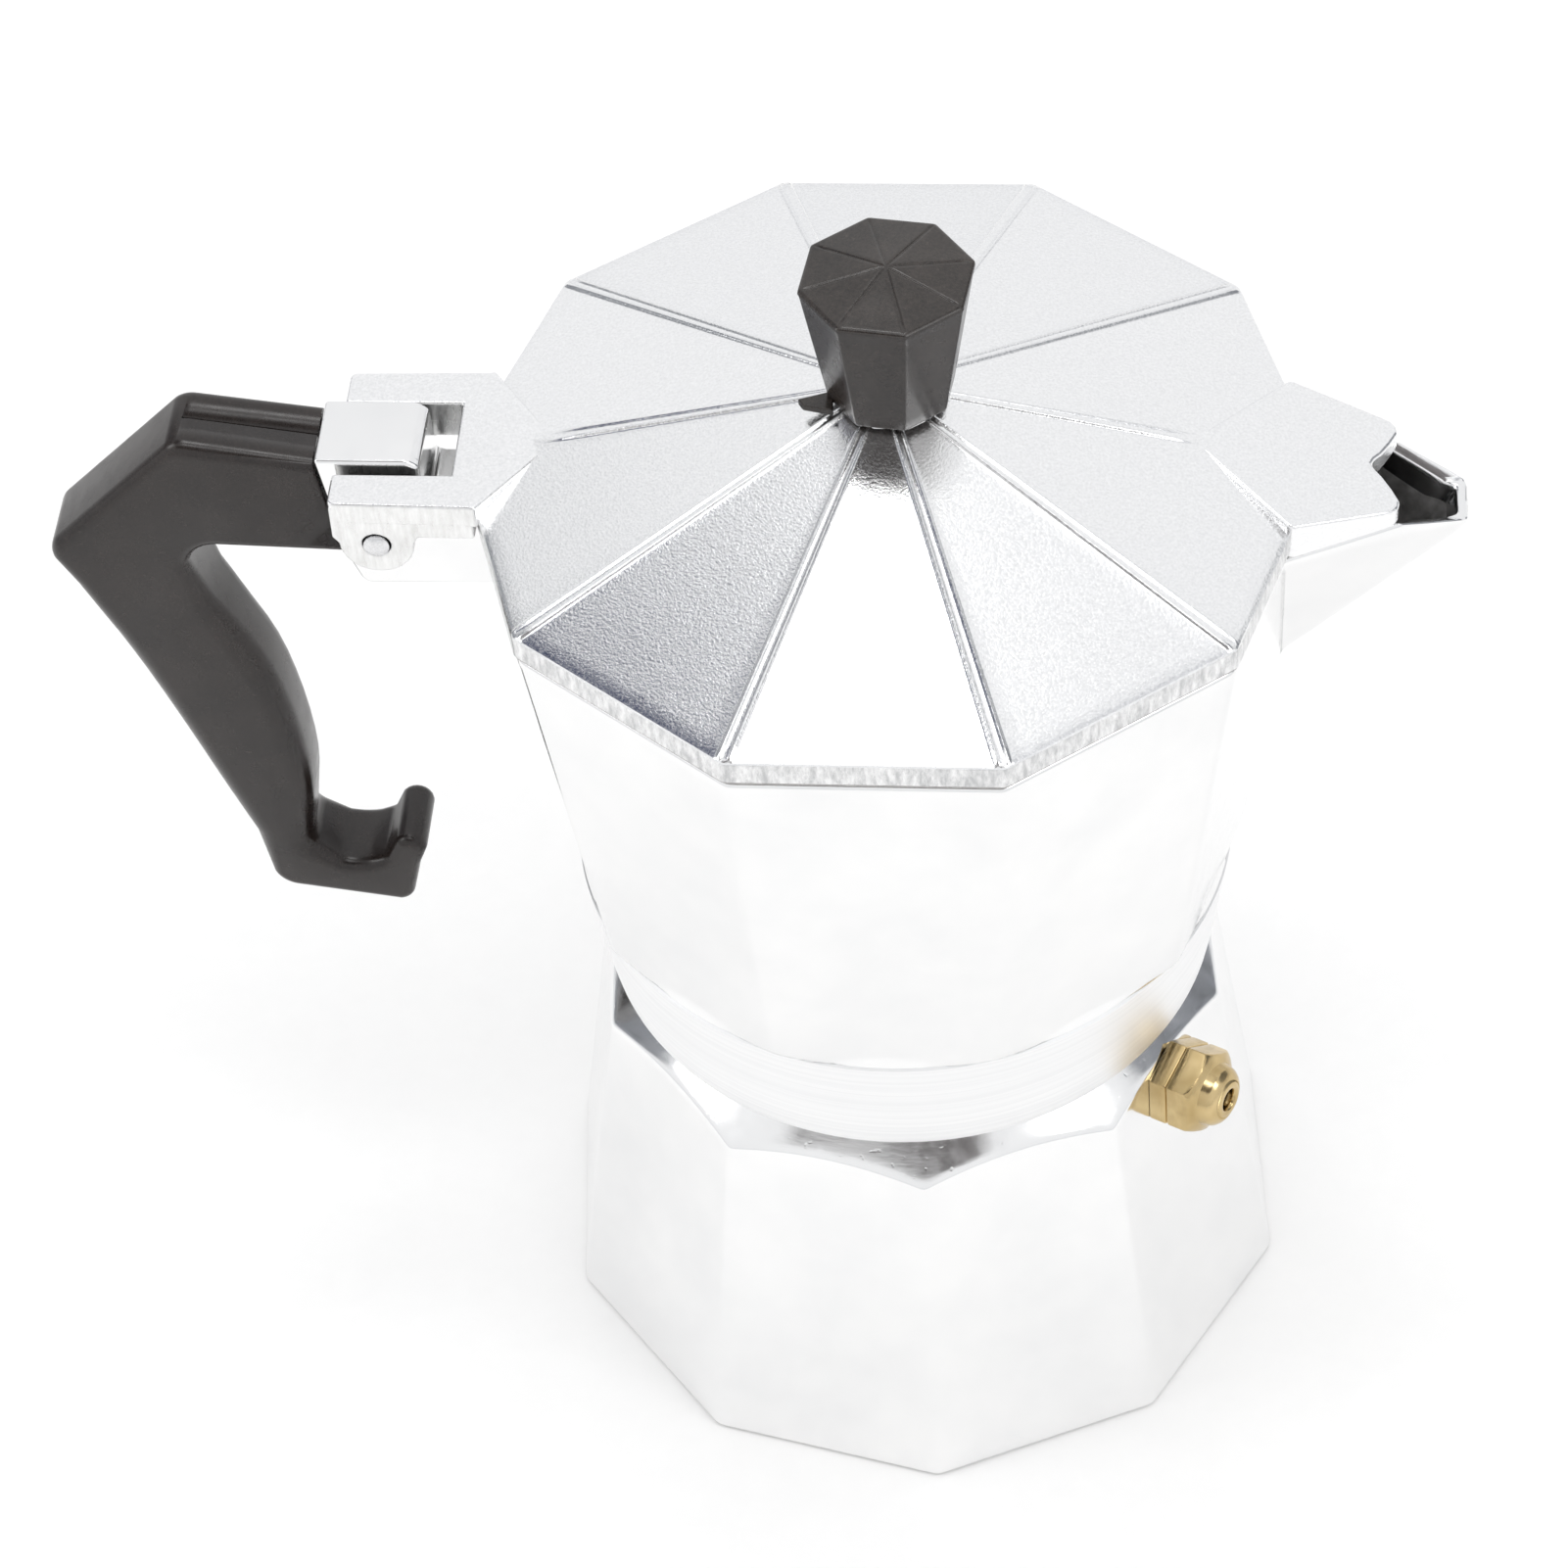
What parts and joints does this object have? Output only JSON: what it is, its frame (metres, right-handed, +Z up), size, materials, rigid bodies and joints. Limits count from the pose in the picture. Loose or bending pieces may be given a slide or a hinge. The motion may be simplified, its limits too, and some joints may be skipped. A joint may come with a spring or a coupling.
{
  "type": "moka pot",
  "caption": "Ten-sided stovetop moka pot with screw-on upper chamber, hinged lid, pointed spout, open hook handle, knob and safety valve.",
  "frame": {"origin": "centre of the boiler's flat underside, where the pot stands", "axes": "+Z up along the screw axis of boiler and upper chamber, +X towards the spout, -X towards the handle"},
  "size_m": [0.1608, 0.0948, 0.1634],
  "materials": {
    "cast_aluminium": "polished casting with fine tooling marks",
    "lid_aluminium": "satin with a fine blasted grain",
    "sheet_aluminium": "satin pressed sheet",
    "steel": "bright",
    "valve_brass": "machined bright brass",
    "bakelite": "satin moulded phenolic plastic, warm black",
    "silicone": "soft matt",
    "fibre_washer": "matt pressed fibre"
  },
  "bodies": {
    "boiler": {"boiler": "cast_aluminium", "valve_body": "valve_brass", "valve_washer": "fibre_washer", "valve_spring": "steel", "valve_seat": "valve_brass"},
    "valve_piston": {"valve_piston": "steel"},
    "funnel": {"funnel_basket": "sheet_aluminium", "funnel_tube": "sheet_aluminium", "funnel_sieve": "sheet_aluminium"},
    "gasket": {"gasket": "silicone"},
    "filter": {"filter_plate": "sheet_aluminium"},
    "chamber": {"upper_chamber": "cast_aluminium", "column": "sheet_aluminium", "hinge_pin": "steel", "handle": "bakelite", "handle_screw": "steel"},
    "lid": {"lid": "lid_aluminium", "knob": "bakelite", "knob_washer": "steel", "knob_screw": "steel"}
  },
  "joints": [
    {"name": "valve_open", "type": "slide", "parent": "boiler", "child": "valve_piston", "axis": [0.8498, -0.5062, 0.147], "range_m": [0, 0.0012], "stiffness_N_per_m": 900, "springref_m": -0.0015, "deforming": ["valve_spring"]},
    {"name": "funnel_lift", "type": "slide", "parent": "boiler", "child": "funnel", "axis": [0, 0, 1], "range_m": [0, 0.08]},
    {"name": "top_lift", "type": "slide", "parent": "funnel", "child": "gasket", "axis": [0, 0, 1], "range_m": [0, 0.05]},
    {"name": "top_rise", "type": "slide", "parent": "gasket", "child": "filter", "axis": [0, 0, 1], "range_m": [0, 0.0075]},
    {"name": "top_turn", "type": "hinge", "parent": "filter", "child": "chamber", "pos_m": [0, 0, 0.064], "axis": [0, 0, 1], "range_deg": [0, 1080]},
    {"name": "lid_hinge", "type": "hinge", "parent": "chamber", "child": "lid", "pos_m": [-0.0564, 0, 0.1306], "axis": [0, -1, 0], "range_deg": [0, 96]}
  ],
  "couplings": [
    {"joint": "top_rise", "follows": "top_turn", "m_per_rad": 0.00039788}
  ]
}
